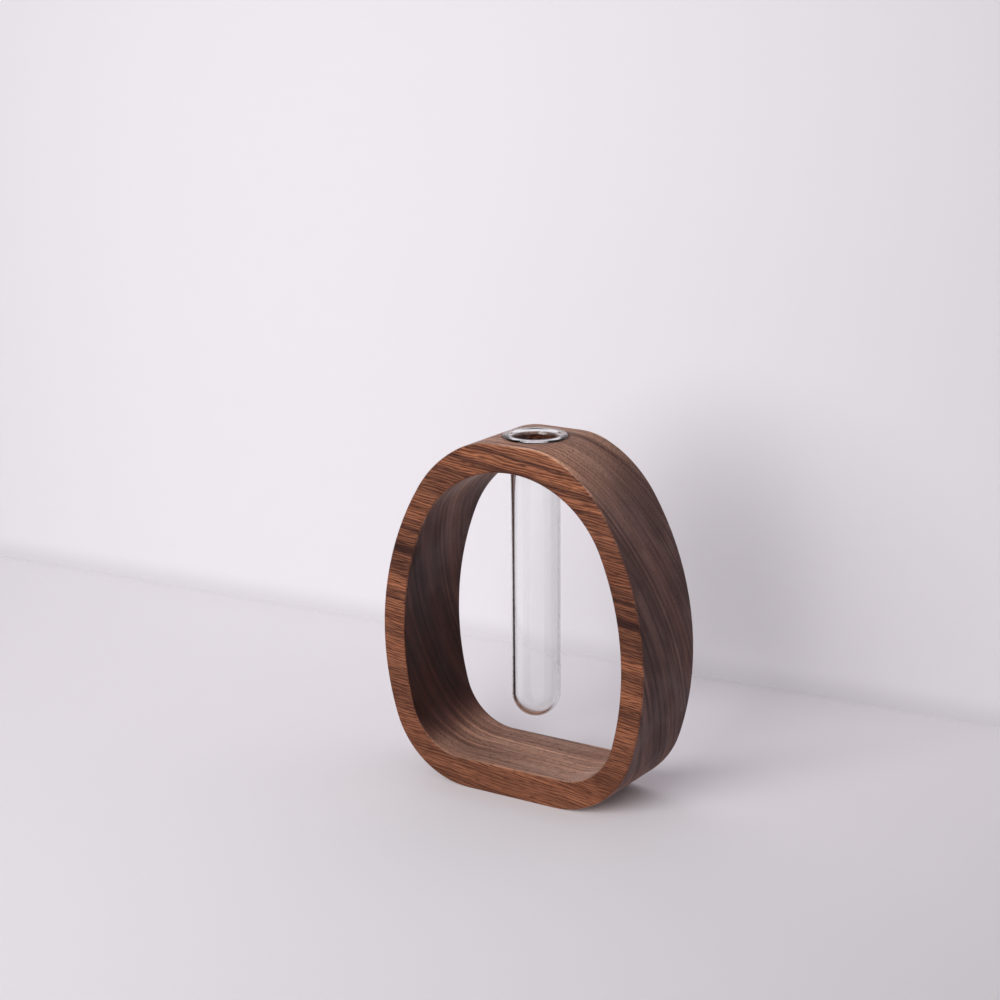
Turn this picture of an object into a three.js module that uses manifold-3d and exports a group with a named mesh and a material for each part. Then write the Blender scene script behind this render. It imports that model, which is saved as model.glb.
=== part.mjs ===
// Bud vase: an egg-shaped wooden ring on a flat foot, with a glass tube hung through its crown.
// Millimetres, +Z up. The origin is the middle of the foot, on the surface that the ring stands on.
// X runs across the ring, along the fibres of the wood, and Y runs through its depth.

import * as THREE from 'three';
import { mergeVertices } from 'three/addons/utils/BufferGeometryUtils.js';
import Module from 'manifold-3d';

const wasm = await Module();
wasm.setup();

// Wooden ring, outside
const RING_HEIGHT = 150; // foot to the flat land round the glass lip
const RING_WIDTH = 126; // across the belly
const RING_DEPTH = 42; // front face to back face
const FOOT_RADIUS = 38; // corners between the foot and the sides
const BELLY_SWELL = 4; // how far the belly stands out past the foot corners
const CROWN_INSET = 10.5; // half the width less the radius of the crown
const LAND_CUT = 2; // planed off the top of the crown, round the lip
const LAND_BLEND = 30; // sanded curve between the land and the crown
const EDGE_RADIUS = 1; // sanded edges of both faces

// Window through the ring
const SIDE_WALL = 10.6; // belly to the window
const SILL = 12.8; // foot to the floor of the window
const CROWN_WALL = 11.4; // land to the top of the window
const FLOOR_RADIUS = 24.5; // corners between the window's floor and sides
const WINDOW_SWELL = 3.5; // how far the window's belly stands out past those corners
const WINDOW_INSET = 6; // half the window's width less the radius of its top

// Glass tube with a round bottom and a rolled lip
const TUBE_DIAMETER = 20.5;
const TUBE_WALL = 1.3;
const TUBE_DROP = 119.4; // underside of the lip to the bottom of the tube
const LIP_REACH = 3.05; // outside of the tube to the edge of the lip
const LIP_THICKNESS = 1.4;
const LIP_FILLET = 0.8; // root of the lip, outside the tube
const MOUTH_FLARE = 3.6; // radius of the curve that opens the mouth, inside the tube
const MOUTH_TURN = 50; // degrees that this curve turns before the lip rolls over

// Fit of the tube in the ring
const BORE_CLEARANCE = 0.5; // between the tube and the bore, all round
const SEAT_DEPTH = 0.6; // shallow recess in the land that the lip sits in
const SEAT_CLEARANCE = 0.5; // between the lip and the wall of its recess
const SEAT_GAP = 0.3; // between the lip and the floor of its recess

// Fineness of the round shapes, in flats
const OUTLINE_STEPS = 10; // along each arc of an egg outline
const EDGE_STEPS = 3; // across a sanded edge
const TURN_STEPS = 64; // round the tube and its bore
const BOTTOM_STEPS = 10; // down each dome of the tube's bottom
const ROLL_STEPS = 4; // along each curve of the lip, twice over where it rolls half round

const SEAT_HEIGHT = RING_HEIGHT - SEAT_DEPTH;
const QUARTER_TURN = Math.PI / 2;
const SAME_POINT = 1e-6;

// Points along a run of arcs, each {x, y, r, from, to}, without the doubled points at the joins.
function pointsAlong(arcs) {
  const points = arcs.flatMap(({ x, y, r, from, to, steps }) => (
    new THREE.EllipseCurve(x, y, r, r, from, to, to < from).getPoints(steps)
  ));
  return points.filter((point, i) => i === 0 || point.distanceTo(points[i - 1]) > SAME_POINT);
}

// Egg outline in the plane of the ring: a flat foot, two foot corners, two sides and a crown, all
// tangent. The side's arc is the one that touches the belly, the foot corner and the crown at once,
// and it is drawn in two runs that meet at the belly. A crown can be planed off to a flat land, with
// a blend between the two.
function eggOutline({ halfWidth, bottom, top, footRadius, swell, crownInset, planed = 0, blend = 0 }) {
  const crownRadius = halfWidth - crownInset;
  const crownY = top + planed - crownRadius;
  const footX = halfWidth - swell - footRadius;
  const footY = bottom + footRadius;
  const rise = crownY - footY;
  const reach = swell + 2 * footRadius;
  const pull = swell * (rise ** 2 + crownInset * (halfWidth + crownRadius - reach));
  const climb = pull / (swell * rise + Math.sqrt((swell * rise) ** 2 + (crownInset - swell) * pull));
  const sideRadius = (climb ** 2 / swell + reach) / 2;
  const sideX = halfWidth - sideRadius;
  const sideY = footY + climb;
  const landX = Math.sqrt(planed * (2 * (crownRadius - blend) - planed));
  const landY = top - blend;

  const footEnd = Math.atan2(footY - sideY, footX - sideX);
  const sideEnd = Math.atan2(crownY - sideY, -sideX);
  const crownEnd = Math.atan2(landY - crownY, landX);
  const right = [
    { x: footX, y: footY, r: footRadius, from: -QUARTER_TURN, to: footEnd },
    { x: sideX, y: sideY, r: sideRadius, from: footEnd, to: 0 },
    { x: sideX, y: sideY, r: sideRadius, from: 0, to: sideEnd },
    { x: 0, y: crownY, r: crownRadius, from: sideEnd, to: crownEnd },
    { x: landX, y: landY, r: blend, from: crownEnd, to: QUARTER_TURN },
  ];
  const left = right.toReversed().map(({ x, y, r, from, to }) => (
    { x: -x, y, r, from: Math.PI - to, to: Math.PI - from }
  ));
  return pointsAlong([...right, ...left].map((arc) => ({ ...arc, steps: OUTLINE_STEPS })));
}

// Closed solid from a geometry, with its shared corners merged.
function solidOf(geometry) {
  const bare = geometry.clone();
  bare.deleteAttribute('normal');
  bare.deleteAttribute('uv');
  const merged = mergeVertices(bare);
  return new wasm.Manifold(new wasm.Mesh({
    numProp: 3,
    vertProperties: new Float32Array(merged.attributes.position.array),
    triVerts: new Uint32Array(merged.index.array),
  }));
}

function geometryOf(solid) {
  const { vertProperties, triVerts } = solid.getMesh();
  const geometry = new THREE.BufferGeometry();
  geometry.setAttribute('position', new THREE.BufferAttribute(vertProperties, 3));
  geometry.setIndex(new THREE.BufferAttribute(triVerts, 1));
  geometry.computeVertexNormals();
  return geometry;
}

// Turned solid: a profile of (radius, height) points swept round Z.
function turned(profile) {
  const geometry = new THREE.LatheGeometry(profile, TURN_STEPS);
  geometry.rotateX(QUARTER_TURN);
  return solidOf(geometry);
}

// Slab cut to the egg outline, with the window through it and the edges of both faces sanded round.
function ringBlank() {
  const halfWidth = RING_WIDTH / 2;
  const slab = new THREE.Shape(eggOutline({
    halfWidth,
    bottom: 0,
    top: RING_HEIGHT,
    footRadius: FOOT_RADIUS,
    swell: BELLY_SWELL,
    crownInset: CROWN_INSET,
    planed: LAND_CUT,
    blend: LAND_BLEND,
  }));
  slab.holes.push(new THREE.Path(eggOutline({
    halfWidth: halfWidth - SIDE_WALL,
    bottom: SILL,
    top: RING_HEIGHT - CROWN_WALL,
    footRadius: FLOOR_RADIUS,
    swell: WINDOW_SWELL,
    crownInset: WINDOW_INSET,
  })));
  const depth = RING_DEPTH - 2 * EDGE_RADIUS;
  const geometry = new THREE.ExtrudeGeometry(slab, {
    depth,
    bevelThickness: EDGE_RADIUS,
    bevelSize: EDGE_RADIUS,
    bevelOffset: -EDGE_RADIUS,
    bevelSegments: EDGE_STEPS,
  });
  geometry.translate(0, 0, -depth / 2);
  geometry.rotateX(QUARTER_TURN);
  return solidOf(geometry);
}

// Stepped drill for the tube: the lip's recess, an eased rim below it and the bore into the window.
function boreDrill() {
  const radius = TUBE_DIAMETER / 2 + BORE_CLEARANCE;
  const mouth = radius + LIP_FILLET;
  const recess = TUBE_DIAMETER / 2 + LIP_REACH + SEAT_CLEARANCE;
  const drillTop = RING_HEIGHT + LAND_CUT;
  const drillTip = RING_HEIGHT - 2 * CROWN_WALL;
  return turned([
    new THREE.Vector2(0, drillTip),
    new THREE.Vector2(radius, drillTip),
    new THREE.Vector2(radius, SEAT_HEIGHT - LIP_FILLET),
    new THREE.Vector2(mouth, SEAT_HEIGHT),
    new THREE.Vector2(recess, SEAT_HEIGHT),
    new THREE.Vector2(recess, drillTop),
    new THREE.Vector2(0, drillTop),
  ]);
}

// Tube with its lip's underside at height 0: up the outside, over the rolled lip and down the inside.
function tubeSolid() {
  const outer = TUBE_DIAMETER / 2;
  const inner = outer - TUBE_WALL;
  const domeY = outer - TUBE_DROP;
  const roll = LIP_THICKNESS / 2;
  const flareTurn = THREE.MathUtils.degToRad(MOUTH_TURN);
  const flareStep = MOUTH_FLARE - roll;
  return turned(pointsAlong([
    { x: 0, y: domeY, r: outer, from: -QUARTER_TURN, to: 0, steps: BOTTOM_STEPS },
    {
      x: outer + LIP_FILLET,
      y: -LIP_FILLET,
      r: LIP_FILLET,
      from: Math.PI,
      to: QUARTER_TURN,
      steps: ROLL_STEPS,
    },
    {
      x: outer + LIP_REACH - roll,
      y: roll,
      r: roll,
      from: -QUARTER_TURN,
      to: QUARTER_TURN,
      steps: 2 * ROLL_STEPS,
    },
    {
      x: inner + MOUTH_FLARE - flareStep * Math.cos(flareTurn),
      y: roll,
      r: roll,
      from: QUARTER_TURN,
      to: Math.PI - flareTurn,
      steps: ROLL_STEPS,
    },
    {
      x: inner + MOUTH_FLARE,
      y: roll - flareStep * Math.sin(flareTurn),
      r: MOUTH_FLARE,
      from: Math.PI - flareTurn,
      to: Math.PI,
      steps: ROLL_STEPS,
    },
    { x: 0, y: domeY, r: inner, from: 0, to: -QUARTER_TURN, steps: BOTTOM_STEPS },
  ]));
}

function woodenRing() {
  const walnut = new THREE.MeshStandardMaterial({ color: 0x7b4a30, roughness: 0.6, metalness: 0 });
  const ring = new THREE.Mesh(geometryOf(ringBlank().subtract(boreDrill())), walnut);
  ring.name = 'wooden_ring';
  return ring;
}

function glassTube() {
  const glass = new THREE.MeshStandardMaterial({
    color: 0xf1f5f4,
    roughness: 0.04,
    metalness: 0,
    transparent: true,
    opacity: 0.35,
  });
  const tube = new THREE.Mesh(geometryOf(tubeSolid()), glass);
  tube.name = 'glass_tube';
  tube.position.z = SEAT_HEIGHT + SEAT_GAP;
  return tube;
}

const vase = new THREE.Group();
vase.add(woodenRing(), glassTube());

export default vase;
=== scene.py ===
"""Bud vase: a walnut ring on a flat foot, with a clear glass tube hung through its crown.

Metres, +Z up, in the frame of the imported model. The origin is the middle of the foot. X runs across
the ring along the fibres of the wood, and Y runs through its depth towards the back face.
"""

from __future__ import annotations

import logging
import math
from collections.abc import Callable
from dataclasses import dataclass
from enum import Enum
from functools import reduce

import bpy
from mathutils import Matrix, Vector


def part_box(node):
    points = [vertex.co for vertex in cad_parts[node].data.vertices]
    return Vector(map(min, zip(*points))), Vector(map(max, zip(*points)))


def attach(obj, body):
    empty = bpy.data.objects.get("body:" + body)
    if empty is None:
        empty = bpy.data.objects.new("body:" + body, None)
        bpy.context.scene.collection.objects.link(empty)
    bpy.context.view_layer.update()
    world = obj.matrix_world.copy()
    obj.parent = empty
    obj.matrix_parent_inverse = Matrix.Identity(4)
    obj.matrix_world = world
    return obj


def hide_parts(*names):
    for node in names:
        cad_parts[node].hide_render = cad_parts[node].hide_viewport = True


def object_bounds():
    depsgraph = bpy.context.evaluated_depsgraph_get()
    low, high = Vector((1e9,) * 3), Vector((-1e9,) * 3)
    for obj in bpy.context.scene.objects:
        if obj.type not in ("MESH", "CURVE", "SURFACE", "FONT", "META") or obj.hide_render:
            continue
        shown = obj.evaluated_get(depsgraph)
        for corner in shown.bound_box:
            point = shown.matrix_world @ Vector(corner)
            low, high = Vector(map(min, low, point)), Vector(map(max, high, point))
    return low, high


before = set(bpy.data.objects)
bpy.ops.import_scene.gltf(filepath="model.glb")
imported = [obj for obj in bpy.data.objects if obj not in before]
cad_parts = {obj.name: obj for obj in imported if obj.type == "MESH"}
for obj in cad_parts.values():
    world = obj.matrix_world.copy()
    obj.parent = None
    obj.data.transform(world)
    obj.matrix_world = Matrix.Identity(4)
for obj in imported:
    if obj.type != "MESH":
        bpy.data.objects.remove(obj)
CAD_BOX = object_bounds()

MM = 0.001
PER_MM = 1000.0
QUARTER_TURN = math.pi / 2
FULL_TURN = 2 * math.pi
SAME_POINT = 1e-7
BORE_CLEARANCE = 0.5 * MM
NOISE_MIDDLE = 0.5

Colour = tuple[float, float, float]
Triple = tuple[float, float, float]
Span = tuple[float, float]
Feed = bpy.types.NodeSocket | float | tuple[float, ...]

log = logging.getLogger("bud_vase")


class Body(Enum):
    """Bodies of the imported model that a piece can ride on."""

    RING = "ring"
    TUBE = "tube"


class Slot(Enum):
    """Material slots of the record."""

    WALNUT = "walnut"
    CLEAR_GLASS = "clear_glass"


class Socket(Enum):
    """Kinds of socket on a node group."""

    VALUE = "NodeSocketFloat"
    VECTOR = "NodeSocketVector"


class NodeSketch:
    """Adds nodes to one tree and links them, one step to a line."""

    def __init__(self, tree: bpy.types.NodeTree) -> None:
        """Keep the tree that the nodes go into."""
        self.tree = tree

    def add(self, kind: str, **settings: object) -> bpy.types.Node:
        """Add a node.

        Args:
            kind: The node's type name, without its ShaderNode prefix.
            settings: The node's own properties by name.

        Returns:
            The new node.
        """
        node = self.tree.nodes.new("ShaderNode" + kind)
        for name, value in settings.items():
            setattr(node, name, value)
        return node

    def feed(self, socket: bpy.types.NodeSocket, value: Feed) -> None:
        """Link a socket to another socket, or set its plain value.

        Args:
            socket: The input to fill.
            value: An output socket, a number or a tuple of numbers.
        """
        if isinstance(value, bpy.types.NodeSocket):
            self.tree.links.new(value, socket)
        else:
            socket.default_value = value

    def math(self, operation: str, *values: Feed) -> bpy.types.NodeSocket:
        """Add a Math node.

        Args:
            operation: The node's operation, such as MULTIPLY.
            values: What feeds its inputs, in order.

        Returns:
            The node's value.
        """
        node = self.add("Math", operation=operation)
        for socket, value in zip(node.inputs, values):
            self.feed(socket, value)
        return node.outputs["Value"]

    def vector(self, operation: str, *values: Feed) -> bpy.types.NodeSocket:
        """Add a Vector Math node.

        Args:
            operation: The node's operation, such as ADD or DOT_PRODUCT.
            values: What feeds its vector inputs, in order.

        Returns:
            The number of a dot product or length, and otherwise the vector.
        """
        node = self.add("VectorMath", operation=operation)
        for socket, value in zip(node.inputs, values):
            self.feed(socket, value)
        return node.outputs["Value" if operation in ("DOT_PRODUCT", "LENGTH") else "Vector"]

    def step(self, value: Feed, low: float, high: float) -> bpy.types.NodeSocket:
        """Add a smooth step that rises from 0 at low to 1 at high.

        Args:
            value: The number to step.
            low: Where the step starts.
            high: Where the step ends; below low, the step falls.

        Returns:
            The stepped value.
        """
        node = self.add("MapRange", interpolation_type="SMOOTHSTEP")
        ends = (low, high, 0.0, 1.0) if low < high else (high, low, 1.0, 0.0)
        for socket, number in zip(node.inputs, (value, *ends)):
            self.feed(socket, number)
        return node.outputs["Result"]

    def part(self, vector: Feed, axis: str) -> bpy.types.NodeSocket:
        """Take the X, Y or Z part of a vector."""
        node = self.add("SeparateXYZ")
        self.feed(node.inputs["Vector"], vector)
        return node.outputs[axis]

    def noise(self, position: Feed, grain: Triple, detail: float = 2.0) -> bpy.types.Node:
        """Add a noise whose patches have a chosen length along each axis.

        Args:
            position: Where the noise is read.
            grain: Length of a patch along X, Y and Z, in the position's unit.
            detail: Octaves of finer noise.

        Returns:
            The Noise Texture node.
        """
        node = self.add("TexNoise")
        scaled = self.vector("DIVIDE", position, grain)
        for name, value in (("Vector", scaled), ("Scale", 1.0), ("Detail", detail)):
            self.feed(node.inputs[name], value)
        return node

    def sway(self, position: Feed, grain: Triple, reach: Triple) -> bpy.types.NodeSocket:
        """Push positions about by a noise.

        Args:
            position: The positions to push.
            grain: Length of a push along X, Y and Z.
            reach: Largest push along X, Y and Z, from end to end.

        Returns:
            The pushed positions.
        """
        colour = self.noise(position, grain).outputs["Color"]
        centred = self.vector("SUBTRACT", colour, (NOISE_MIDDLE,) * 3)
        return self.vector("ADD", position, self.vector("MULTIPLY", centred, reach))

    def mix(
        self, factor: Feed, first: Feed, second: Feed, blend: str = "MIX"
    ) -> bpy.types.NodeSocket:
        """Mix two colours.

        Args:
            factor: 0 gives the first colour, 1 the second.
            first: A colour or a colour socket.
            second: A colour or a colour socket.
            blend: The node's blend type.

        Returns:
            The mixed colour.
        """
        node = self.add("Mix", data_type="RGBA", blend_type=blend)
        colours = [socket for socket in node.inputs if socket.type == "RGBA"]
        self.feed(node.inputs["Factor"], factor)
        for socket, value in zip(colours, (first, second)):
            self.feed(socket, (*value, 1.0) if isinstance(value, tuple) else value)
        return next(socket for socket in node.outputs if socket.type == "RGBA")


@dataclass(frozen=True)
class Effect:
    """A shader node group: its name, its sockets, and the function that draws it."""

    name: str
    takes: dict[str, Socket]
    gives: dict[str, Socket]
    draw: Callable[[NodeSketch, bpy.types.Node], dict[str, bpy.types.NodeSocket]]

    def group(self) -> bpy.types.NodeTree:
        """Build the group once.

        Returns:
            The node group, new or already built.
        """
        if self.name in bpy.data.node_groups:
            return bpy.data.node_groups[self.name]
        tree = bpy.data.node_groups.new(self.name, "ShaderNodeTree")
        for name, kind in self.takes.items():
            tree.interface.new_socket(name=name, in_out="INPUT", socket_type=kind.value)
        for name, kind in self.gives.items():
            tree.interface.new_socket(name=name, in_out="OUTPUT", socket_type=kind.value)
        made = self.draw(NodeSketch(tree), tree.nodes.new("NodeGroupInput"))
        end = tree.nodes.new("NodeGroupOutput")
        for name, socket in made.items():
            tree.links.new(socket, end.inputs[name])
        return tree

    def place(self, sketch: NodeSketch, **feeds: Feed) -> bpy.types.Node:
        """Place the group in a material.

        Args:
            sketch: The material's tree.
            feeds: What feeds each input, with underscores for the spaces in its name.

        Returns:
            The group node.
        """
        node = sketch.add("Group", node_tree=self.group())
        for name, value in feeds.items():
            sketch.feed(node.inputs[name.replace("_", " ").title()], value)
        return node


# Grain space, in millimetres: along the fibres, across the growth layers, and within a layer. The
# layers lean back and dip to the right.
ALONG_FIBRES = (1.0, 0.0, 0.0)
ACROSS_LAYERS = (0.06, 1.0, 0.42)
WITHIN_LAYERS = (0.10, -0.42, 1.0)


@dataclass(frozen=True)
class Band:
    """A band that stands out, by its depth across the layers in millimetres; most are bands of wood,
    one is a painted highlight.
    """

    depth: float
    half_width: float
    strength: float
    core: float = 0.1


DARK_BANDS = (
    Band(depth=-10.6, half_width=4.0, strength=0.3),
    Band(depth=-5.7, half_width=2.4, strength=0.2),
    Band(depth=1.8, half_width=0.5, strength=0.5),
    Band(depth=8.6, half_width=0.6, strength=0.5),
    Band(depth=14.8, half_width=3.4, strength=0.45),
    Band(depth=17.9, half_width=1.7, strength=0.95),
    Band(depth=20.0, half_width=2.6, strength=0.3),
    Band(depth=21.8, half_width=0.9, strength=0.85),
    Band(depth=34.6, half_width=0.6, strength=0.55),
    Band(depth=37.3, half_width=0.9, strength=0.6),
    Band(depth=40.2, half_width=0.6, strength=0.6),
    Band(depth=62.4, half_width=0.8, strength=0.8),
)
PALE_BANDS_AND_HIGHLIGHT = (
    Band(depth=-14.5, half_width=2.2, strength=0.6),
    Band(depth=-0.7, half_width=2.2, strength=0.6),
    Band(depth=5.2, half_width=2.8, strength=0.6),
    Band(depth=11.0, half_width=1.8, strength=0.6),
    Band(depth=26.0, half_width=3.0, strength=0.6),
    Band(depth=35.9, half_width=1.1, strength=0.8),
    Band(depth=38.8, half_width=1.2, strength=0.9),
    # Painted highlight: this broad pale band falls on the planed land in front of the lip.
    Band(depth=45.5, half_width=4.5, strength=1.0, core=0.6),
    Band(depth=52.0, half_width=6.0, strength=0.45),
)


def grain_space(sketch: NodeSketch, position: Feed) -> bpy.types.NodeSocket:
    """Turn positions into grain space.

    Args:
        sketch: The tree to work in.
        position: Positions in millimetres.

    Returns:
        How far along the fibres, across the layers and within a layer.
    """
    node = sketch.add("CombineXYZ")
    for socket, direction in zip(node.inputs, (ALONG_FIBRES, ACROSS_LAYERS, WITHIN_LAYERS)):
        sketch.feed(socket, sketch.vector("DOT_PRODUCT", position, direction))
    return node.outputs["Vector"]


def draw_bands(sketch: NodeSketch, depth: Feed, bands: tuple[Band, ...]) -> bpy.types.NodeSocket:
    """Draw bands across the layers.

    Args:
        sketch: The group's tree.
        depth: How far across the layers.
        bands: The bands to draw.

    Returns:
        A mask of the bands, each as high as its strength.
    """
    shades = []
    for band in bands:
        off = sketch.math("ABSOLUTE", sketch.math("SUBTRACT", depth, band.depth))
        shade = sketch.step(off, band.half_width, band.core * band.half_width)
        shades.append(sketch.math("MULTIPLY", shade, band.strength))
    return reduce(lambda one, other: sketch.math("MAXIMUM", one, other), shades)


@dataclass(frozen=True)
class GrowthLayers:
    """Layers with a soft pale side and a sharp dark side, with their lengths in grain space."""

    pitch: float = 3.4
    sway_grain: Triple = (40.0, 14.0, 30.0)
    sway_reach: Triple = (0.0, 1.4, 0.0)
    late_rise: Span = (0.30, 0.90)
    late_end: Span = (1.0, 0.93)
    late_strength: float = 0.5
    tone_grain: Triple = (60.0, 7.4, 20.0)
    dull_tone: Span = (0.68, 0.32)

    def draw(self, sketch: NodeSketch, start: bpy.types.Node) -> dict[str, bpy.types.NodeSocket]:
        """Draw the layers, each of its own strength, and the bands that stand out.

        Args:
            sketch: The group's tree.
            start: The group's input node.

        Returns:
            Late Wood, dark at 1; the pale bands at 1, early wood and a painted highlight on the land;
            and Dull, a stretch of duller wood at 1.
        """
        grain = grain_space(sketch, start.outputs["Position"])
        depth = sketch.part(sketch.sway(grain, self.sway_grain, self.sway_reach), "Y")
        turns = sketch.math("DIVIDE", depth, self.pitch)
        layer = sketch.math("FLOOR", turns)
        along = sketch.math("SUBTRACT", turns, layer)
        fate = sketch.add("TexWhiteNoise", noise_dimensions="1D")
        sketch.feed(fate.inputs["W"], layer)
        line = sketch.math(
            "MULTIPLY", sketch.step(along, *self.late_rise), sketch.step(along, *self.late_end)
        )
        strength = sketch.math("MULTIPLY", fate.outputs["Value"], self.late_strength)
        late = sketch.math("MULTIPLY", line, strength)
        tone = sketch.noise(grain, self.tone_grain).outputs["Fac"]
        return {
            "Late Wood": sketch.math("MAXIMUM", late, draw_bands(sketch, depth, DARK_BANDS)),
            "Early Wood And Highlight": draw_bands(sketch, depth, PALE_BANDS_AND_HIGHLIGHT),
            "Dull": sketch.step(tone, *self.dull_tone),
        }


@dataclass(frozen=True)
class Fibres:
    """Wavy fibres, the ribbons and broad streaks that they lie in, and the open pores between them.

    The lengths are in grain space. The fibres lie calmer towards the foot.
    """

    sway_grain: Triple = (24.0, 9.0, 13.0)
    sway_reach: Triple = (0.0, 0.5, 1.5)
    coarse_grain: Triple = (24.0, 0.5, 0.5)
    fine_grain: Triple = (12.0, 0.32, 0.32)
    noise_share: float = 0.5
    slip_grain: Triple = (20.0, 3.0, 3.0)
    slip_turns: float = 3.0
    ripple_pitch: float = 1.2
    ripple_height: float = 0.13
    curl_heights: Span = (-90.0, 110.0)
    strand_edge: Span = (-0.16, 0.16)
    ribbon_grain: Triple = (60.0, 1.7, 40.0)
    streak_grain: Triple = (90.0, 4.5, 70.0)
    tone_edge: Span = (0.34, 0.66)
    pore_grain: Triple = (4.5, 0.32, 0.32)
    pore_edge: Span = (0.60, 0.72)

    def strands(
        self, sketch: NodeSketch, grain: Feed, wavy: Feed, height: Feed
    ) -> bpy.types.NodeSocket:
        """Draw single strands: coarse and fine fibres on a ripple that slips along its length.

        Args:
            sketch: The group's tree.
            grain: Positions in grain space.
            wavy: The same positions, pushed about.
            height: How far above the foot.

        Returns:
            The strands, dark below 0 and pale above it.
        """
        coarse = sketch.noise(wavy, self.coarse_grain, detail=1.0).outputs["Fac"]
        fine = sketch.noise(wavy, self.fine_grain, detail=1.0).outputs["Fac"]
        slip = sketch.noise(grain, self.slip_grain).outputs["Fac"]
        turns = sketch.math("DIVIDE", sketch.part(wavy, "Z"), self.ripple_pitch)
        turns = sketch.math("MULTIPLY_ADD", slip, self.slip_turns, turns)
        ripple = sketch.math("SINE", sketch.math("MULTIPLY", turns, FULL_TURN))
        strands = sketch.math("MULTIPLY_ADD", ripple, self.ripple_height, -NOISE_MIDDLE)
        for noise in (coarse, fine):
            strands = sketch.math("MULTIPLY_ADD", noise, self.noise_share, strands)
        return sketch.math("MULTIPLY", strands, sketch.step(height, *self.curl_heights))

    def draw(self, sketch: NodeSketch, start: bpy.types.Node) -> dict[str, bpy.types.NodeSocket]:
        """Draw the fibres and the pores.

        Args:
            sketch: The group's tree.
            start: The group's input node.

        Returns:
            Fibre, Ribbon and Streak, each pale at 1, and Pore, open at 1.
        """
        position = start.outputs["Position"]
        grain = grain_space(sketch, position)
        wavy = sketch.sway(grain, self.sway_grain, self.sway_reach)
        strands = self.strands(sketch, grain, wavy, sketch.part(position, "Z"))
        ribbon = sketch.noise(wavy, self.ribbon_grain).outputs["Fac"]
        streak = sketch.noise(wavy, self.streak_grain).outputs["Fac"]
        pores = sketch.noise(wavy, self.pore_grain, detail=0.0).outputs["Fac"]
        return {
            "Fibre": sketch.step(strands, *self.strand_edge),
            "Ribbon": sketch.step(ribbon, *self.tone_edge),
            "Streak": sketch.step(streak, *self.tone_edge),
            "Pore": sketch.step(pores, *self.pore_edge),
        }


@dataclass(frozen=True)
class Handling:
    """Soft patches where hands have polished or smeared a surface."""

    detail: float = 3.0
    edge: Span = (0.42, 0.66)

    def draw(self, sketch: NodeSketch, start: bpy.types.Node) -> dict[str, bpy.types.NodeSocket]:
        """Draw the patches.

        Args:
            sketch: The group's tree.
            start: The group's input node.

        Returns:
            Mark, handled at 1.
        """
        spread = sketch.vector("DIVIDE", start.outputs["Position"], start.outputs["Patch"])
        broad = sketch.noise(spread, (1.0, 1.0, 1.0), self.detail).outputs["Fac"]
        return {"Mark": sketch.step(broad, *self.edge)}


GROWTH_LAYERS = Effect(
    name="growth_layers",
    takes={"Position": Socket.VECTOR},
    gives=dict.fromkeys(("Late Wood", "Early Wood And Highlight", "Dull"), Socket.VALUE),
    draw=GrowthLayers().draw,
)
FIBRES = Effect(
    name="fibres",
    takes={"Position": Socket.VECTOR},
    gives=dict.fromkeys(("Fibre", "Ribbon", "Streak", "Pore"), Socket.VALUE),
    draw=Fibres().draw,
)
HANDLING = Effect(
    name="handling",
    takes=dict.fromkeys(("Position", "Patch"), Socket.VECTOR),
    gives={"Mark": Socket.VALUE},
    draw=Handling().draw,
)


def new_material(name: str) -> tuple[NodeSketch, bpy.types.Node, bpy.types.Material]:
    """Make a material with a Principled BSDF.

    Args:
        name: The material's name.

    Returns:
        A sketch of its tree, its Principled BSDF, and the material.
    """
    material = bpy.data.materials.new(name)
    material.use_nodes = True
    sketch = NodeSketch(material.node_tree)
    return sketch, material.node_tree.nodes["Principled BSDF"], material


def millimetres(sketch: NodeSketch) -> tuple[bpy.types.Node, bpy.types.NodeSocket]:
    """Read Object coordinates in millimetres.

    Args:
        sketch: The material's tree.

    Returns:
        The Texture Coordinate node and the position in millimetres.
    """
    place = sketch.add("TexCoord")
    return place, sketch.vector("MULTIPLY", place.outputs["Object"], (PER_MM,) * 3)


@dataclass(frozen=True)
class Cut:
    """Colours of the wood on one kind of cut, painted sheen included on some cuts, and the shares of
    its figure, which add up to 1.
    """

    pale: Colour
    deep: Colour
    late: Colour
    fibres: float
    ribbons: float
    streaks: float


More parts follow.
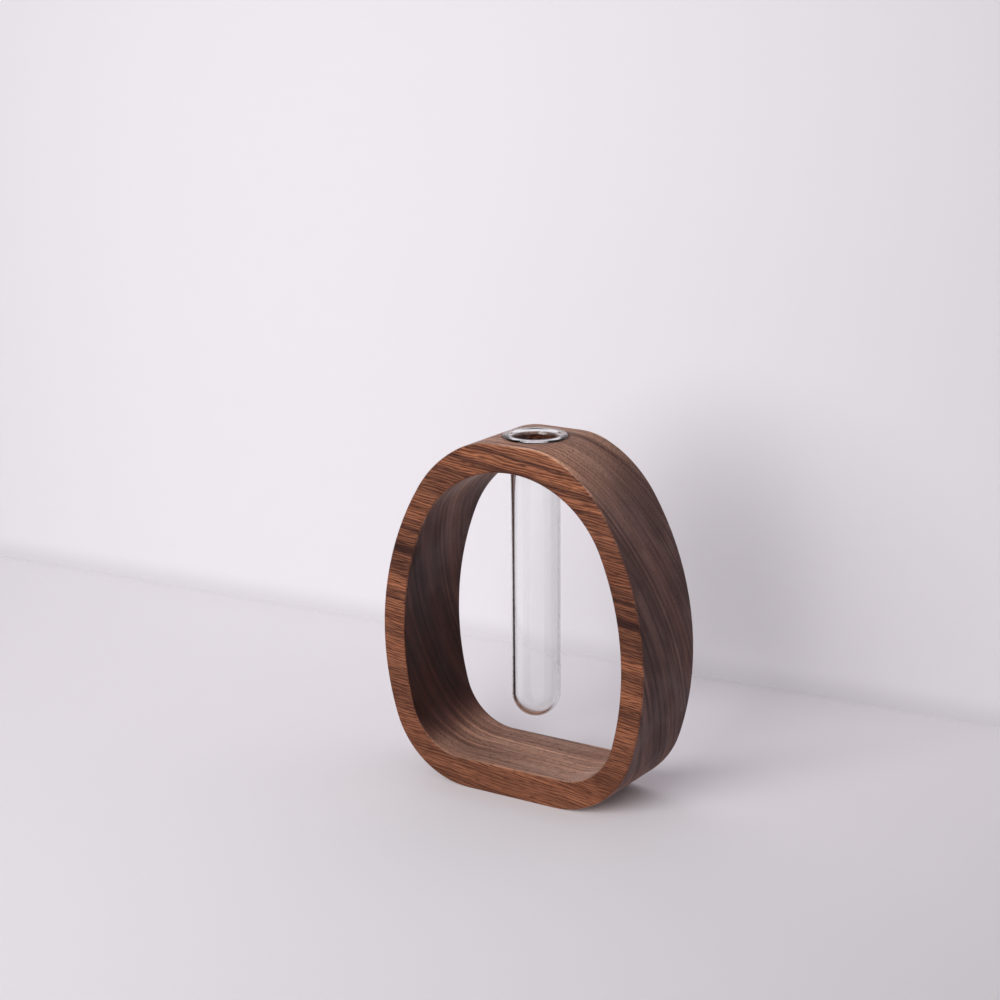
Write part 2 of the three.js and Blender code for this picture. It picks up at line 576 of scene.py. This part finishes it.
@dataclass(frozen=True)
class Walnut:
    """Sanded walnut with a thin satin oil finish.

    The end grain low inside the window is painted darker: painted shade, deep in the window where the
    walls keep the light out.
    """

    face: Cut = Cut(
        pale=(0.274, 0.105, 0.054),
        deep=(0.052, 0.0135, 0.0065),
        late=(0.025, 0.0055, 0.0035),
        fibres=0.82,
        ribbons=0.08,
        streaks=0.1,
    )
    # Long grain on the top, crown and sill: its pale, grey colours are partly painted sheen and
    # painted top light, its figure the wood's.
    long_grain_and_sheen: Cut = Cut(
        pale=(0.56, 0.315, 0.220),
        deep=(0.110, 0.045, 0.030),
        late=(0.300, 0.155, 0.110),
        fibres=0.2,
        ribbons=0.5,
        streaks=0.3,
    )
    # End grain on the sides: its darkness is the wood's, its grey, bluish tint is painted sheen.
    end_grain_and_sheen: Cut = Cut(
        pale=(0.157, 0.086, 0.077),
        deep=(0.085, 0.043, 0.039),
        late=(0.048, 0.022, 0.019),
        fibres=0.1,
        ribbons=0.25,
        streaks=0.65,
    )
    # Tint of the pale bands: early wood, and the painted highlight on the land.
    early_and_highlight: Colour = (1.35, 1.30, 1.22)
    dull: Colour = (0.66, 0.62, 0.62)
    pore: Colour = (0.50, 0.46, 0.45)
    # Painted shade: darkens the inward end grain low in the window.
    painted_shade: Colour = (0.36, 0.19, 0.135)
    painted_shade_heights: Span = (115.0, 45.0)
    end_turn: Span = (0.35, 1.0)
    face_turn: Span = (0.45, 0.85)
    inward_turn: Span = (-5.0, -30.0)
    handled_patch: Triple = (34.0, 22.0, 22.0)
    sheen: float = 0.14
    smooth: float = 0.44
    rough: float = 0.6
    pore_rough: float = 0.2
    fibre_height: float = 0.4
    relief: float = 0.35
    relief_depth: float = 0.1 * MM

    def figure(
        self, sketch: NodeSketch, cut: Cut, layers: bpy.types.Node, fibres: bpy.types.Node
    ) -> bpy.types.NodeSocket:
        """Colour the wood as one kind of cut shows it.

        Args:
            sketch: The material's tree.
            cut: The kind of cut.
            layers: The growth layers.
            fibres: The fibres.

        Returns:
            The colour.
        """
        shares = {"Fibre": cut.fibres, "Ribbon": cut.ribbons, "Streak": cut.streaks}
        shade: Feed = 0.0
        for name, share in shares.items():
            shade = sketch.math("MULTIPLY_ADD", fibres.outputs[name], share, shade)
        plain = sketch.mix(shade, cut.deep, cut.pale)
        return sketch.mix(layers.outputs["Late Wood"], plain, cut.late)

    def colour(
        self, sketch: NodeSketch, place: bpy.types.Node, position: Feed, fibres: bpy.types.Node
    ) -> bpy.types.NodeSocket:
        """Colour the wood by the way that each surface cuts the grain, with painted sheen on the long
        and end grain and painted shade low inside the window.

        Args:
            sketch: The material's tree.
            place: The Texture Coordinate node.
            position: Positions in millimetres.
            fibres: The fibres.

        Returns:
            The colour.
        """
        layers = GROWTH_LAYERS.place(sketch, position=position)
        sideways = sketch.part(place.outputs["Normal"], "X")
        forwards = sketch.part(place.outputs["Normal"], "Y")
        end = sketch.step(sketch.math("ABSOLUTE", sideways), *self.end_turn)
        broad = sketch.step(sketch.math("ABSOLUTE", forwards), *self.face_turn)
        inward = sketch.math("MULTIPLY", sideways, sketch.part(position, "X"))
        inside = sketch.step(inward, *self.inward_turn)
        low = sketch.step(sketch.part(position, "Z"), *self.painted_shade_heights)
        # Mask of the painted shade: inward-facing end grain, low in the window.
        window_shade = sketch.math("MULTIPLY", sketch.math("MULTIPLY", inside, end), low)

        # The long-grain and end-grain colours hold painted sheen besides the wood's own colour.
        cuts = (self.long_grain_and_sheen, self.end_grain_and_sheen, self.face)
        long_grain_and_sheen, end_grain_and_sheen, face = (self.figure(sketch, cut, layers, fibres) for cut in cuts)
        body = sketch.mix(end, long_grain_and_sheen, end_grain_and_sheen)
        # Paint shade on the end grain low inside the window.
        body = sketch.mix(window_shade, body, self.painted_shade, blend="MULTIPLY")
        body = sketch.mix(broad, body, face)
        # Lighten the pale bands: early wood, and a painted highlight on the land before the lip.
        body = sketch.mix(layers.outputs["Early Wood And Highlight"], body, self.early_and_highlight, blend="MULTIPLY")
        body = sketch.mix(layers.outputs["Dull"], body, self.dull, blend="MULTIPLY")
        return sketch.mix(fibres.outputs["Pore"], body, self.pore, blend="MULTIPLY")

    def material(self) -> bpy.types.Material:
        """Build the finish.

        Returns:
            The material.
        """
        sketch, shader, material = new_material("oiled_walnut")
        place, position = millimetres(sketch)
        fibres = FIBRES.place(sketch, position=position)
        sketch.feed(shader.inputs["Base Color"], self.colour(sketch, place, position, fibres))

        mark = HANDLING.place(sketch, position=position, patch=self.handled_patch).outputs["Mark"]
        satin = sketch.math("MULTIPLY_ADD", mark, self.smooth - self.rough, self.rough)
        satin = sketch.math("MULTIPLY_ADD", fibres.outputs["Pore"], self.pore_rough, satin)
        sketch.feed(shader.inputs["Roughness"], satin)
        shader.inputs["Specular IOR Level"].default_value = self.sheen

        relief = sketch.add("Bump")
        raised = sketch.math("MULTIPLY", fibres.outputs["Fibre"], self.fibre_height)
        raised = sketch.math("SUBTRACT", raised, fibres.outputs["Pore"])
        sketch.feed(relief.inputs["Height"], raised)
        relief.inputs["Strength"].default_value = self.relief
        relief.inputs["Distance"].default_value = self.relief_depth
        sketch.feed(shader.inputs["Normal"], relief.outputs["Normal"])
        return material


@dataclass(frozen=True)
class ClearGlass:
    """Clear blown glass, with faint smears where it is lifted by hand."""

    tint: Colour = (0.985, 0.992, 0.990)
    ior: float = 1.47
    smeared: float = 0.035
    handled_patch: Triple = (12.0, 12.0, 16.0)

    def material(self) -> bpy.types.Material:
        """Build the finish.

        Returns:
            The material.
        """
        sketch, shader, material = new_material("clear_glass_tube")
        _, position = millimetres(sketch)
        mark = HANDLING.place(sketch, position=position, patch=self.handled_patch).outputs["Mark"]
        sketch.feed(shader.inputs["Roughness"], sketch.math("MULTIPLY", mark, self.smeared))
        shader.inputs["Base Color"].default_value = (*self.tint, 1.0)
        shader.inputs["Transmission Weight"].default_value = 1.0
        shader.inputs["IOR"].default_value = self.ior
        return material


@dataclass(frozen=True)
class Paint:
    """Matt paint of the stage, which fades upwards from the colour of its foot. On the backdrop the
    darker foot is painted shade along its join with the floor.

    It shows on its front side only, and it fades out at a distance from the vase.
    """

    name: str
    foot: Colour
    top: Colour
    rise: float = 14 * MM
    reach: Span = (0.55, 0.75)
    rough: float = 0.85
    sheen: float = 0.2

    def material(self) -> bpy.types.Material:
        """Build the finish.

        Returns:
            The material.
        """
        sketch, shader, material = new_material(self.name)
        position = sketch.add("TexCoord").outputs["Object"]
        # Fade up from the foot: on the backdrop, painted shade along the join with the floor.
        fade = sketch.step(sketch.part(position, "Z"), 0.0, self.rise)
        sketch.feed(shader.inputs["Base Color"], sketch.mix(fade, self.foot, self.top))
        shader.inputs["Roughness"].default_value = self.rough
        shader.inputs["Specular IOR Level"].default_value = self.sheen

        back = sketch.add("NewGeometry").outputs["Backfacing"]
        far = sketch.step(sketch.vector("LENGTH", position), *self.reach)
        clear = sketch.add("BsdfTransparent")
        either = sketch.add("MixShader")
        sketch.feed(either.inputs["Fac"], sketch.math("MAXIMUM", back, far))
        sketch.feed(either.inputs[1], shader.outputs["BSDF"])
        sketch.feed(either.inputs[2], clear.outputs["BSDF"])
        output = material.node_tree.nodes["Material Output"]
        sketch.feed(output.inputs["Surface"], either.outputs["Shader"])
        return material


class Pen:
    """Draws chains of edges in edit mode, in the plane of X and Z at one depth."""

    def __init__(self, name: str, depth: float = 0.0) -> None:
        """Start an empty mesh in edit mode.

        Args:
            name: The new object's name.
            depth: The plane's place on Y.
        """
        self.depth = depth
        self.tip = Vector((0.0, depth, 0.0))
        bpy.ops.object.select_all(action="DESELECT")
        bpy.ops.mesh.primitive_plane_add(size=MM)
        self.piece = bpy.context.object
        self.piece.name = name
        bpy.ops.object.mode_set(mode="EDIT")
        bpy.ops.mesh.delete(type="VERT")

    def start(self, x: float, z: float) -> None:
        """Set down the first point of a chain."""
        self.tip = Vector((x, self.depth, z))
        bpy.ops.mesh.primitive_plane_add(size=MM, location=self.tip)
        bpy.ops.mesh.merge(type="CENTER")

    def line(self, x: float, z: float) -> None:
        """Draw a straight edge to a point."""
        end = Vector((x, self.depth, z))
        bpy.ops.mesh.extrude_region_move(TRANSFORM_OT_translate={"value": end - self.tip})
        self.tip = end

    def arc(self, x: float, z: float, angle: float, steps: int) -> None:
        """Draw an arc from the tip.

        Args:
            x: The arc's centre on X.
            z: The arc's centre on Z.
            angle: How far it turns, anticlockwise as seen from the front.
            steps: Edges along the arc.
        """
        centre = Vector((x, self.depth, z))
        bpy.ops.mesh.spin(steps=steps, angle=angle, center=centre, axis=(0.0, 1.0, 0.0))
        self.tip = centre + Matrix.Rotation(-angle, 3, "Y") @ (self.tip - centre)

    def lathe(self, steps: int) -> None:
        """Spin all that is drawn round Z and close it into a solid.

        Args:
            steps: Flats round the axis.
        """
        bpy.ops.mesh.select_all(action="SELECT")
        bpy.ops.mesh.spin(
            steps=steps, angle=FULL_TURN, center=(0.0, 0.0, 0.0), axis=(0.0, 0.0, 1.0)
        )
        self.close()

    def close(self) -> None:
        """Merge doubled points and turn the faces outwards."""
        bpy.ops.mesh.select_all(action="SELECT")
        bpy.ops.mesh.remove_doubles(threshold=SAME_POINT)
        bpy.ops.mesh.normals_make_consistent(inside=False)

    def lift(self) -> bpy.types.Object:
        """Leave edit mode.

        Returns:
            The drawn object.
        """
        bpy.ops.object.mode_set(mode="OBJECT")
        return self.piece


def apply_modifier(piece: bpy.types.Object, kind: str, **settings: object) -> None:
    """Add a modifier to a piece and apply it.

    Args:
        piece: The object, in object mode.
        kind: The modifier's type, such as MIRROR.
        settings: The modifier's properties by name.
    """
    bpy.ops.object.select_all(action="DESELECT")
    bpy.context.view_layer.objects.active = piece
    piece.select_set(True)
    bpy.ops.object.modifier_add(type=kind)
    modifier = piece.modifiers[-1]
    for name, value in settings.items():
        setattr(modifier, name, value)
    bpy.ops.object.modifier_apply(modifier=modifier.name)


def hand_over(
    piece: bpy.types.Object, finish: bpy.types.Material, node: str, body: Body
) -> None:
    """Give a modelled piece its finish and let it stand for its CAD node.

    Args:
        piece: The modelled object.
        finish: The material that it gets.
        node: The CAD node that it replaces.
        body: The body that it rides on.
    """
    piece.data.materials.clear()
    piece.data.materials.append(finish)
    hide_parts(node)
    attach(piece, body.value)
    log.info("%s: %d faces, rides on %s", piece.name, len(piece.data.polygons), body.value)


@dataclass(frozen=True)
class EggOutline:
    """Half of an egg outline of tangent arcs: a flat foot, a foot corner, a side and a crown.

    Every outline has the same number of edges, so that two of them bridge edge to edge.
    """

    half_width: float
    bottom: float
    top: float
    foot_radius: float
    swell: float
    crown_inset: float
    planed: float = 0.0
    blend: float = 0.0

    foot_steps: int = 16
    side_steps: int = 12
    crown_steps: int = 18
    blend_steps: int = 6

    def draw(self, pen: Pen) -> None:
        """Draw the right half from the middle of the foot to the middle of the crown.

        Args:
            pen: The pen to draw with.
        """
        crown_radius = self.half_width - self.crown_inset
        crown_z = self.top + self.planed - crown_radius
        foot_x = self.half_width - self.swell - self.foot_radius
        foot_z = self.bottom + self.foot_radius
        rise = crown_z - foot_z
        reach = self.swell + 2 * self.foot_radius
        pull = self.swell * (rise**2 + self.crown_inset * (self.half_width + crown_radius - reach))
        lean = self.swell * rise
        climb = pull / (lean + math.sqrt(lean**2 + (self.crown_inset - self.swell) * pull))
        side_radius = (climb**2 / self.swell + reach) / 2
        side_x = self.half_width - side_radius
        side_z = foot_z + climb
        land_x = math.sqrt(self.planed * (2 * (crown_radius - self.blend) - self.planed))
        land_z = self.top - self.blend

        foot_end = math.atan2(foot_z - side_z, foot_x - side_x)
        side_end = math.atan2(crown_z - side_z, -side_x)
        crown_end = math.atan2(land_z - crown_z, land_x)
        pen.start(0.0, self.bottom)
        pen.line(foot_x, self.bottom)
        pen.arc(foot_x, foot_z, foot_end + QUARTER_TURN, self.foot_steps)
        pen.arc(side_x, side_z, -foot_end, self.side_steps)
        pen.arc(side_x, side_z, side_end, self.side_steps)
        if land_x > 0.0:
            pen.arc(0.0, crown_z, crown_end - side_end, self.crown_steps)
            pen.arc(land_x, land_z, QUARTER_TURN - crown_end, self.blend_steps)
            pen.line(0.0, self.top)
        else:
            steps = self.crown_steps + self.blend_steps + 1
            pen.arc(0.0, crown_z, crown_end - side_end, steps)


@dataclass
class WoodenRing:
    """The ring: one slab cut to an egg, with a window, a planed land and a bore for the tube."""

    height: float
    width: float
    depth: float
    bore_radius: float
    foot_radius: float = 38 * MM
    belly_swell: float = 4 * MM
    crown_inset: float = 10.5 * MM
    land_cut: float = 2 * MM
    land_blend: float = 30 * MM
    edge_radius: float = 1 * MM
    side_wall: float = 10.6 * MM
    sill: float = 12.8 * MM
    crown_wall: float = 11.4 * MM
    floor_radius: float = 24.5 * MM
    window_swell: float = 3.5 * MM
    window_inset: float = 6 * MM
    bore_ease: float = 0.8 * MM
    seat_depth: float = 0.6 * MM
    seat_radius: float = 13.8 * MM
    sharp_angle: float = 60.0
    smooth_angle: float = 35.0
    edge_steps: int = 4
    bore_steps: int = 96

    def outside(self) -> EggOutline:
        """Give the outline of the ring."""
        return EggOutline(
            half_width=self.width / 2,
            bottom=0.0,
            top=self.height,
            foot_radius=self.foot_radius,
            swell=self.belly_swell,
            crown_inset=self.crown_inset,
            planed=self.land_cut,
            blend=self.land_blend,
        )

    def window(self) -> EggOutline:
        """Give the outline of the window through it."""
        return EggOutline(
            half_width=self.width / 2 - self.side_wall,
            bottom=self.sill,
            top=self.height - self.crown_wall,
            foot_radius=self.floor_radius,
            swell=self.window_swell,
            crown_inset=self.window_inset,
        )

    def slab(self) -> bpy.types.Object:
        """Cut the slab: bridge the two outlines, mirror, thicken and sand the edges.

        Returns:
            The slab with its window.
        """
        pen = Pen("wooden_ring_walnut", depth=-self.depth / 2)
        self.outside().draw(pen)
        self.window().draw(pen)
        bpy.ops.mesh.select_all(action="SELECT")
        bpy.ops.mesh.bridge_edge_loops()
        slab = pen.lift()
        apply_modifier(slab, "MIRROR", use_clip=True, merge_threshold=SAME_POINT)
        bpy.ops.object.mode_set(mode="EDIT")
        bpy.ops.mesh.select_all(action="SELECT")
        bpy.ops.mesh.extrude_region_move(TRANSFORM_OT_translate={"value": (0.0, self.depth, 0.0)})
        pen.close()
        bpy.ops.mesh.select_mode(type="EDGE")
        bpy.ops.mesh.select_all(action="DESELECT")
        bpy.ops.mesh.edges_select_sharp(sharpness=math.radians(self.sharp_angle))
        bpy.ops.mesh.bevel(offset=self.edge_radius, segments=self.edge_steps, affect="EDGES")
        bpy.ops.mesh.select_mode(type="VERT")
        return pen.lift()

    def drill(self) -> bpy.types.Object:
        """Turn the stepped drill: the lip's recess, an eased rim below it and the bore.

        Returns:
            The drill as a closed solid.
        """
        pen = Pen("bore_drill")
        tip = self.height - 2 * self.crown_wall
        top = self.height + self.land_cut
        seat = self.height - self.seat_depth
        pen.start(0.0, tip)
        pen.line(self.bore_radius, tip)
        pen.line(self.bore_radius, seat - self.bore_ease)
        pen.line(self.bore_radius + self.bore_ease, seat)
        pen.line(self.seat_radius, seat)
        pen.line(self.seat_radius, top)
        pen.line(0.0, top)
        pen.lathe(self.bore_steps)
        return pen.lift()

    def build(self) -> bpy.types.Object:
        """Model the ring.

        Returns:
            The finished mesh.
        """
        slab = self.slab()
        drill = self.drill()
        apply_modifier(slab, "BOOLEAN", operation="DIFFERENCE", object=drill, solver="EXACT")
        bpy.data.objects.remove(drill)
        bpy.ops.object.shade_smooth_by_angle(angle=math.radians(self.smooth_angle))
        apply_modifier(slab, "WEIGHTED_NORMAL", keep_sharp=True)
        return slab

    def dress(self, piece: bpy.types.Object, finish: Walnut) -> None:
        """Oil the ring and let it stand for its CAD node.

        Args:
            piece: The finished mesh.
            finish: The wood's finish.
        """
        hand_over(piece, finish.material(), "wooden_ring", Body.RING)


@dataclass
class GlassTube:
    """The tube: a round bottom, a straight wall and a rolled lip that it hangs by."""

    bottom: float
    top: float
    lip_radius: float
    radius: float = 10.25 * MM
    wall: float = 1.3 * MM
    lip_thickness: float = 1.4 * MM
    lip_fillet: float = 0.8 * MM
    mouth_flare: float = 3.6 * MM
    mouth_turn: float = 50.0
    dome_steps: int = 24
    roll_steps: int = 6
    turn_steps: int = 128

    def build(self) -> bpy.types.Object:
        """Blow the tube: draw its wall in section and spin it round.

        Returns:
            The finished mesh.
        """
        inner = self.radius - self.wall
        dome = self.bottom + self.radius
        seat = self.top - self.lip_thickness
        roll = self.lip_thickness / 2
        turn = math.radians(self.mouth_turn)
        step = self.mouth_flare - roll
        flare_z = seat + roll - step * math.sin(turn)
        pen = Pen("glass_tube_clear")
        pen.start(0.0, self.bottom)
        pen.arc(0.0, dome, QUARTER_TURN, self.dome_steps)
        pen.line(self.radius, seat - self.lip_fillet)
        pen.arc(
            self.radius + self.lip_fillet, seat - self.lip_fillet, -QUARTER_TURN, self.roll_steps
        )
        pen.line(self.lip_radius - roll, seat)
        pen.arc(self.lip_radius - roll, seat + roll, 2 * QUARTER_TURN, 2 * self.roll_steps)
        mouth = inner + self.mouth_flare - step * math.cos(turn)
        pen.line(mouth, self.top)
        pen.arc(mouth, seat + roll, QUARTER_TURN - turn, self.roll_steps)
        pen.arc(inner + self.mouth_flare, flare_z, turn, self.roll_steps)
        pen.line(inner, dome)
        pen.arc(0.0, dome, -QUARTER_TURN, self.dome_steps)
        pen.lathe(self.turn_steps)
        tube = pen.lift()
        bpy.ops.object.shade_smooth()
        return tube

    def dress(self, piece: bpy.types.Object, finish: ClearGlass) -> None:
        """Give the tube its glass and let it stand for its CAD node.

        Args:
            piece: The finished mesh.
            finish: The glass.
        """
        hand_over(piece, finish.material(), "glass_tube", Body.TUBE)


@dataclass(frozen=True)
class PhotoCamera:
    """The camera: where it looks from, and the pixel that its target lands on in a square image."""

    azimuth: float = 33.147
    elevation: float = 14.689
    roll: float = -0.454
    target: Triple = (0.0, 0.0, 70 * MM)
    target_pixel: Span = (536.1, 624.1)
    image_pixels: float = 1000.0
    focal_pixels: float = 2200.0
    distance: float = 913.7 * MM
    sensor: float = 36.0
    clip: Span = (10 * MM, 20.0)

    def build(self) -> None:
        """Set up the camera and look through it."""
        turn, tilt, roll = map(math.radians, (self.azimuth, self.elevation, self.roll))
        level = Vector((math.sin(turn), -math.cos(turn), 0.0))
        back = level * math.cos(tilt) + Vector((0.0, 0.0, math.sin(tilt)))
        right = Vector((math.cos(turn), math.sin(turn), 0.0))
        up = back.cross(right)
        right, up = (
            right * math.cos(roll) + up * math.sin(roll),
            up * math.cos(roll) - right * math.sin(roll),
        )
        per_pixel = self.distance / self.focal_pixels
        across, down = (pixel - self.image_pixels / 2 for pixel in self.target_pixel)
        aside = (up * down - right * across) * per_pixel
        spot = Vector(self.target) + back * self.distance + aside
        bpy.ops.object.camera_add()
        camera = bpy.context.object
        camera.name = "photo_camera"
        turned = Matrix((right, up, back)).transposed().to_4x4()
        camera.matrix_world = Matrix.Translation(spot) @ turned
        camera.data.sensor_width = self.sensor
        camera.data.lens = self.sensor * self.focal_pixels / self.image_pixels
        camera.data.clip_start, camera.data.clip_end = self.clip
        bpy.context.scene.camera = camera


@dataclass
class Studio:
    """Plain pale floor and backdrop, a soft key light from the front left, and a dim even fill."""

    floor_paint: Paint = Paint("floor_paint", foot=(0.84, 0.803, 0.84), top=(0.84, 0.803, 0.84))
    # The backdrop's darker foot is painted shade where it meets the floor.
    wall_paint: Paint = Paint("wall_paint", foot=(0.56, 0.536, 0.564), top=(0.645, 0.618, 0.65))
    floor_size: float = 1.6
    wall_distance: float = 157 * MM
    wall_turn: float = 3.5
    wall_size: float = 1.6
    wall_sunk: float = 20 * MM
    key_towards: Triple = (-0.13, -0.90, 0.41)
    key_distance: float = 1.1
    key_size: float = 0.9
    key_spread: float = 90.0
    key_power: float = 4.4
    key_aim: Triple = (-214 * MM, 144 * MM, 150 * MM)
    fill: float = 0.28
    backdrop: Colour = (0.86, 0.83, 0.87)

    def build_floor(self) -> bpy.types.Object:
        """Lay the floor.

        Returns:
            The floor.
        """
        bpy.ops.object.select_all(action="DESELECT")
        bpy.ops.mesh.primitive_plane_add(size=self.floor_size)
        floor = bpy.context.object
        floor.name = "floor"
        floor.data.materials.append(self.floor_paint.material())
        return floor

    def build_wall(self) -> bpy.types.Object:
        """Stand up the backdrop.

        Returns:
            The backdrop, its front side towards the vase.
        """
        bpy.ops.object.select_all(action="DESELECT")
        bpy.ops.mesh.primitive_plane_add(
            size=self.wall_size,
            location=(0.0, self.wall_distance, self.wall_size / 2 - self.wall_sunk),
            rotation=(QUARTER_TURN, 0.0, math.radians(self.wall_turn)),
        )
        wall = bpy.context.object
        wall.name = "backdrop"
        bpy.ops.object.transform_apply(location=True, rotation=True, scale=True)
        wall.data.materials.append(self.wall_paint.material())
        return wall

    def build_key(self) -> None:
        """Hang the soft key light, out of sight of the camera and of the eye through the glass."""
        towards = Vector(self.key_towards).normalized()
        middle = (CAD_BOX[0] + CAD_BOX[1]) / 2
        bpy.ops.object.light_add(type="AREA", location=middle + towards * self.key_distance)
        lamp = bpy.context.object
        lamp.name = "key_light"
        away = lamp.location - Vector(self.key_aim)
        lamp.rotation_euler = away.to_track_quat("Z", "Y").to_euler()
        lamp.data.shape = "DISK"
        lamp.data.size = self.key_size
        lamp.data.spread = math.radians(self.key_spread)
        lamp.data.energy = self.key_power
        lamp.visible_camera = False
        lamp.visible_transmission = False

    def build_world(self) -> None:
        """Fill from all round, and show the backdrop's colour where nothing else stands."""
        world = bpy.data.worlds.new("studio_fill")
        world.use_nodes = True
        bpy.context.scene.world = world
        sketch = NodeSketch(world.node_tree)
        fill = world.node_tree.nodes["Background"]
        fill.inputs["Color"].default_value = (self.fill, self.fill, self.fill, 1.0)
        shown = sketch.add("Background")
        shown.inputs["Color"].default_value = (*self.backdrop, 1.0)
        path = sketch.add("LightPath")
        seen = path.outputs["Is Camera Ray"]
        for ray in ("Is Transmission Ray", "Is Glossy Ray"):
            seen = sketch.math("MAXIMUM", seen, path.outputs[ray])
        either = sketch.add("MixShader")
        sketch.feed(either.inputs["Fac"], seen)
        sketch.feed(either.inputs[1], fill.outputs["Background"])
        sketch.feed(either.inputs[2], shown.outputs["Background"])
        output = world.node_tree.nodes["World Output"]
        sketch.feed(output.inputs["Surface"], either.outputs["Shader"])

    def build(self) -> None:
        """Set up the whole stage."""
        self.build_floor()
        self.build_wall()
        self.build_key()
        self.build_world()
        bpy.context.scene.view_settings.view_transform = "Standard"
        log.info("studio: floor, backdrop, key light and fill")


def main() -> None:
    """Build the vase, dress it and set the stage."""
    logging.basicConfig(level=logging.INFO, format="%(name)s: %(message)s")
    PhotoCamera().build()
    ring_low, ring_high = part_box("wooden_ring")
    tube_low, tube_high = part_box("glass_tube")
    tube = GlassTube(bottom=tube_low.z, top=tube_high.z, lip_radius=tube_high.x)
    size = ring_high - ring_low
    bore = tube.radius + BORE_CLEARANCE
    ring = WoodenRing(height=size.z, width=size.x, depth=size.y, bore_radius=bore)
    ring.dress(ring.build(), Walnut())
    tube.dress(tube.build(), ClearGlass())
    Studio().build()


if __name__ == "__main__":
    main()
